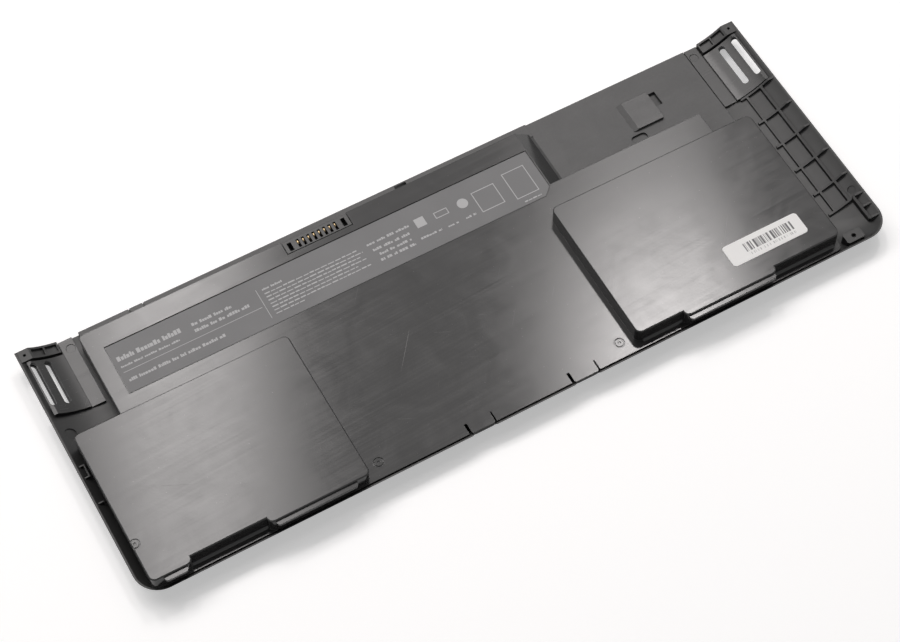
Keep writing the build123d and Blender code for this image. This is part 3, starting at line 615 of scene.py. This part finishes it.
@dataclass
class LabelPrint:
    """Blind print on the rating label: blocks for lines, rules, frames and a disc, with no lettering."""

    base: float = 8.016
    ink_thickness: float = 0.012
    frame_line: float = 0.3
    block_fill: float = 0.82
    word_gap: float = 0.75
    low_block: float = 0.72
    seed: int = 11

    def add_field(self, left: float, front: float, right: float, rear: float) -> None:
        """Add one flat field to the mesh that is being edited.

        Args:
            left: first X in millimetres.
            front: first Y.
            right: last X.
            rear: last Y.
        """
        middle = ((left + right) / 2 * MM, (front + rear) / 2 * MM, self.base * MM)
        bpy.ops.mesh.primitive_plane_add(size=MM, location=middle)
        bpy.ops.transform.resize(value=(right - left, rear - front, 1.0), center_override=middle)

    def add_row(self, row: PrintRow, draw: random.Random) -> None:
        """Add the blocks of one row.

        Args:
            row: its place and the size of its blocks.
            draw: source of the uneven lengths.
        """
        place = row.left
        while place < row.right:
            for _ in range(draw.randint(*row.group)):
                width = row.block * draw.uniform(0.6, 1.3)
                height = row.height * draw.choice((self.low_block, 1.0))
                end = min(place + width * self.block_fill, row.right)
                front = row.middle - row.height / 2
                if end > place:
                    self.add_field(place, front, end, front + height)
                place += width
            place += row.block * self.word_gap if row.group[1] > 1 else 0.0

    def add_frame(self, left: float, front: float, right: float, rear: float) -> None:
        """Add an outlined box: a field, inset by the line, with its middle taken out.

        Args:
            left: first X in millimetres.
            front: first Y.
            right: last X.
            rear: last Y.
        """
        self.add_field(left, front, right, rear)
        bpy.ops.mesh.inset(thickness=self.frame_line * MM, depth=0.0)
        bpy.ops.mesh.delete(type="FACE")

    def build(self, finish: bpy.types.Material) -> None:
        """Model the print as one thin mesh and hand it over.

        Args:
            finish: material of the ink.
        """
        draw = random.Random(self.seed)
        bpy.ops.object.select_all(action="DESELECT")
        bpy.ops.mesh.primitive_circle_add(
            vertices=32, radius=PRINT_DISC[2] * MM, fill_type="NGON",
            location=(PRINT_DISC[0] * MM, PRINT_DISC[1] * MM, self.base * MM))
        piece = bpy.context.object
        piece.name = "label_print"
        bpy.ops.object.transform_apply(location=True, rotation=True, scale=True)
        bpy.ops.object.mode_set(mode="EDIT")
        for row in PRINT_ROWS:
            self.add_row(row, draw)
        for rule in PRINT_RULES:
            self.add_field(*rule)
        for box in PRINT_FRAMES:
            self.add_frame(*box)
        bpy.ops.object.mode_set(mode="OBJECT")
        choose(piece)
        sheet = piece.modifiers.new("ink", "SOLIDIFY")
        sheet.thickness = self.ink_thickness * MM
        sheet.offset = 1.0
        bpy.ops.object.modifier_apply(modifier=sheet.name)
        hand_over(piece, finish)


@dataclass(frozen=True)
class SoftPanel:
    """Flat light over the pack, with soft long edges and a level that changes along it.

    Across its width the level rises over a share of the width, holds, and falls over another share.
    """

    name: str
    middle: Triple
    turn: float
    width: float
    length: float
    radiance: float
    rise: float
    fall: float
    front_level: float
    rear_level: float
    change: Pair = (0.0, 1.0)

    def shade(self, data: bpy.types.Light) -> None:
        """Write the soft edges into the light's nodes.

        Args:
            data: area light of this panel.
        """
        data.use_nodes = True
        tree = data.node_tree
        parts = tree.nodes.new("ShaderNodeSeparateXYZ")
        across = tree.nodes.new("ShaderNodeNewGeometry").outputs["Parametric"]
        tree.links.new(across, parts.inputs["Vector"])
        ramps = (("X", 0.0, self.rise, 0.0, 1.0), ("X", 1.0 - self.fall, 1.0, 1.0, 0.0),
                 ("Y", *self.change, self.front_level, self.rear_level))
        level: Optional[bpy.types.NodeSocket] = None
        for letter, *numbers in ramps:
            ramp = tree.nodes.new("ShaderNodeMapRange")
            ramp.interpolation_type = "SMOOTHSTEP" if letter == "X" else "LINEAR"
            tree.links.new(parts.outputs[letter], ramp.inputs["Value"])
            for socket, number in zip(ramp.inputs[1:5], numbers):
                socket.default_value = number
            if level is None:
                level = ramp.outputs["Result"]
                continue
            step = tree.nodes.new("ShaderNodeMath")
            step.operation = "MULTIPLY"
            tree.links.new(level, step.inputs[0])
            tree.links.new(ramp.outputs["Result"], step.inputs[1])
            level = step.outputs["Value"]
        tree.links.new(level, tree.nodes["Emission"].inputs["Strength"])


CEILING = SoftPanel("ceiling", (0.45, 0.82, 1.6), 0.0, 2.4, 1.8, 0.84, 0.15, 0.15, 1.0, 1.0)
MIDDLE_GLOW = SoftPanel("middle_glow", (0.36, 0.82, 1.55), 0.0, 0.7, 0.9, 0.35, 0.3, 0.35, 1.0, 1.0)
LEFT_STRIP = SoftPanel("left_strip", (0.118, 0.83, 1.5), -19.0, 0.3, 0.62, 17.5, 0.4, 0.45, 0.68, 1.08)
RIGHT_STRIP = SoftPanel("right_strip", (0.648, 0.83, 1.5), -23.0, 0.275, 0.62, 26.0, 0.62, 0.16,
                        1.36, 0.26, (0.15, 0.52))
SIDE_BOX = SoftPanel("side_box", (-0.75, 0.88, 1.5), 0.0, 1.45, 0.6, 4.6, 0.25, 0.2, 1.0, 1.0)
CORNER_FILL = SoftPanel("corner_fill", (0.03, 0.97, 1.5), 0.0, 0.13, 0.24, 24.0, 0.4, 0.4,
                        0.0, 1.0, (0.0, 0.5))
PANELS = (CEILING, MIDDLE_GLOW, LEFT_STRIP, RIGHT_STRIP, SIDE_BOX, CORNER_FILL)
LIGHT_TINT = (1.0, 0.965, 0.955)


@dataclass
class Studio:
    """Pale floor, soft light and the camera."""

    camera_place: Triple = (-0.19943, -0.36696, 0.6857)
    camera_aim: Triple = (-0.009004, -0.009424, 0.0082)
    camera_roll: float = -1.2523
    lens: float = 93.592
    sensor: float = 36.0
    floor_half: float = 4.0
    floor_shade: float = 0.8
    floor_glow: float = 0.42
    sky_level: float = 0.12

    def add_camera(self) -> None:
        """Aim the camera as in the reference view."""
        data = bpy.data.cameras.new("camera")
        data.lens = self.lens
        data.sensor_width = self.sensor
        data.clip_start = 0.01
        camera = bpy.data.objects.new("camera", data)
        bpy.context.scene.collection.objects.link(camera)
        place = Vector(self.camera_place)
        aim = (Vector(self.camera_aim) - place).to_track_quat("-Z", "Y")
        turn = aim.to_matrix().to_4x4() @ Matrix.Rotation(math.radians(self.camera_roll), 4, "Z")
        camera.matrix_world = Matrix.Translation(place) @ turn
        bpy.context.scene.camera = camera

    def add_floor(self) -> None:
        """Lay a white floor that keeps the pack's shadow."""
        bpy.ops.object.select_all(action="DESELECT")
        bpy.ops.mesh.primitive_plane_add(size=2 * self.floor_half)
        floor = bpy.context.object
        floor.name = "floor"
        graph = NodeGraph("floor_white")
        rays = graph.tree.nodes.new("ShaderNodeLightPath").outputs
        seen = graph.sum("MAXIMUM", rays["Is Camera Ray"], rays["Is Glossy Ray"])
        seen = graph.sum("MAXIMUM", seen, rays["Is Transmission Ray"])
        graph.dress(base_color=(self.floor_shade,) * 3, roughness=0.9, specular_ior_level=0.0,
                    emission_color=(1.0, 1.0, 1.0),
                    emission_strength=graph.sum("MULTIPLY", seen, self.floor_glow))
        floor.data.materials.append(graph.material)

    def add_sky(self) -> None:
        """White surround: full white to the eye and in reflections, softer as a light."""
        world = bpy.data.worlds.new("studio")
        world.use_nodes = True
        tree = world.node_tree
        rays = tree.nodes.new("ShaderNodeLightPath").outputs
        seen = rays["Is Camera Ray"]
        for name in ("Is Glossy Ray", "Is Transmission Ray"):
            step = tree.nodes.new("ShaderNodeMath")
            step.operation = "MAXIMUM"
            tree.links.new(seen, step.inputs[0])
            tree.links.new(rays[name], step.inputs[1])
            seen = step.outputs["Value"]
        level = tree.nodes.new("ShaderNodeMapRange")
        tree.links.new(seen, level.inputs["Value"])
        level.inputs["To Min"].default_value = self.sky_level
        level.inputs["To Max"].default_value = 1.0
        sky = tree.nodes["Background"]
        sky.inputs["Color"].default_value = (1.0, 1.0, 1.0, 1.0)
        tree.links.new(level.outputs["Result"], sky.inputs["Strength"])
        bpy.context.scene.world = world

    def add_panel(self, panel: SoftPanel) -> None:
        """Hang one soft light over the pack.

        Args:
            panel: the light's plan, level and soft edges.
        """
        data = bpy.data.lights.new(panel.name, "AREA")
        data.shape = "RECTANGLE"
        data.size = panel.width
        data.size_y = panel.length
        data.energy = panel.radiance * math.pi * panel.width * panel.length
        data.color = LIGHT_TINT
        panel.shade(data)
        light = bpy.data.objects.new(panel.name, data)
        bpy.context.scene.collection.objects.link(light)
        light.location = panel.middle
        light.rotation_euler = (0.0, 0.0, math.radians(panel.turn))
        light.visible_camera = False

    def add_lights(self) -> None:
        """Hang the ceiling panel, the strips whose reflections cross the pads and the side lights."""
        for panel in PANELS:
            self.add_panel(panel)

    def set_view(self) -> None:
        """Show colours as they are written."""
        bpy.context.scene.view_settings.view_transform = "Standard"

    def build(self) -> None:
        """Set up the whole studio."""
        self.add_camera()
        self.add_floor()
        self.add_sky()
        self.add_lights()
        self.set_view()


def main() -> None:
    """Dress the solids, add the pieces that only the eye needs and set up the studio."""
    logging.basicConfig(level=logging.INFO, format="%(name)s: %(message)s")
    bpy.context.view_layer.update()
    bpy.ops.object.select_all(action="DESELECT")
    materials = {slot: finish.material() for slot, finish in FINISHES.items()}
    PackedNodes(materials).dress()
    LabelPrint().build(PRINT_LIGHT.material())
    Studio().build()


if __name__ == "__main__":
    main()
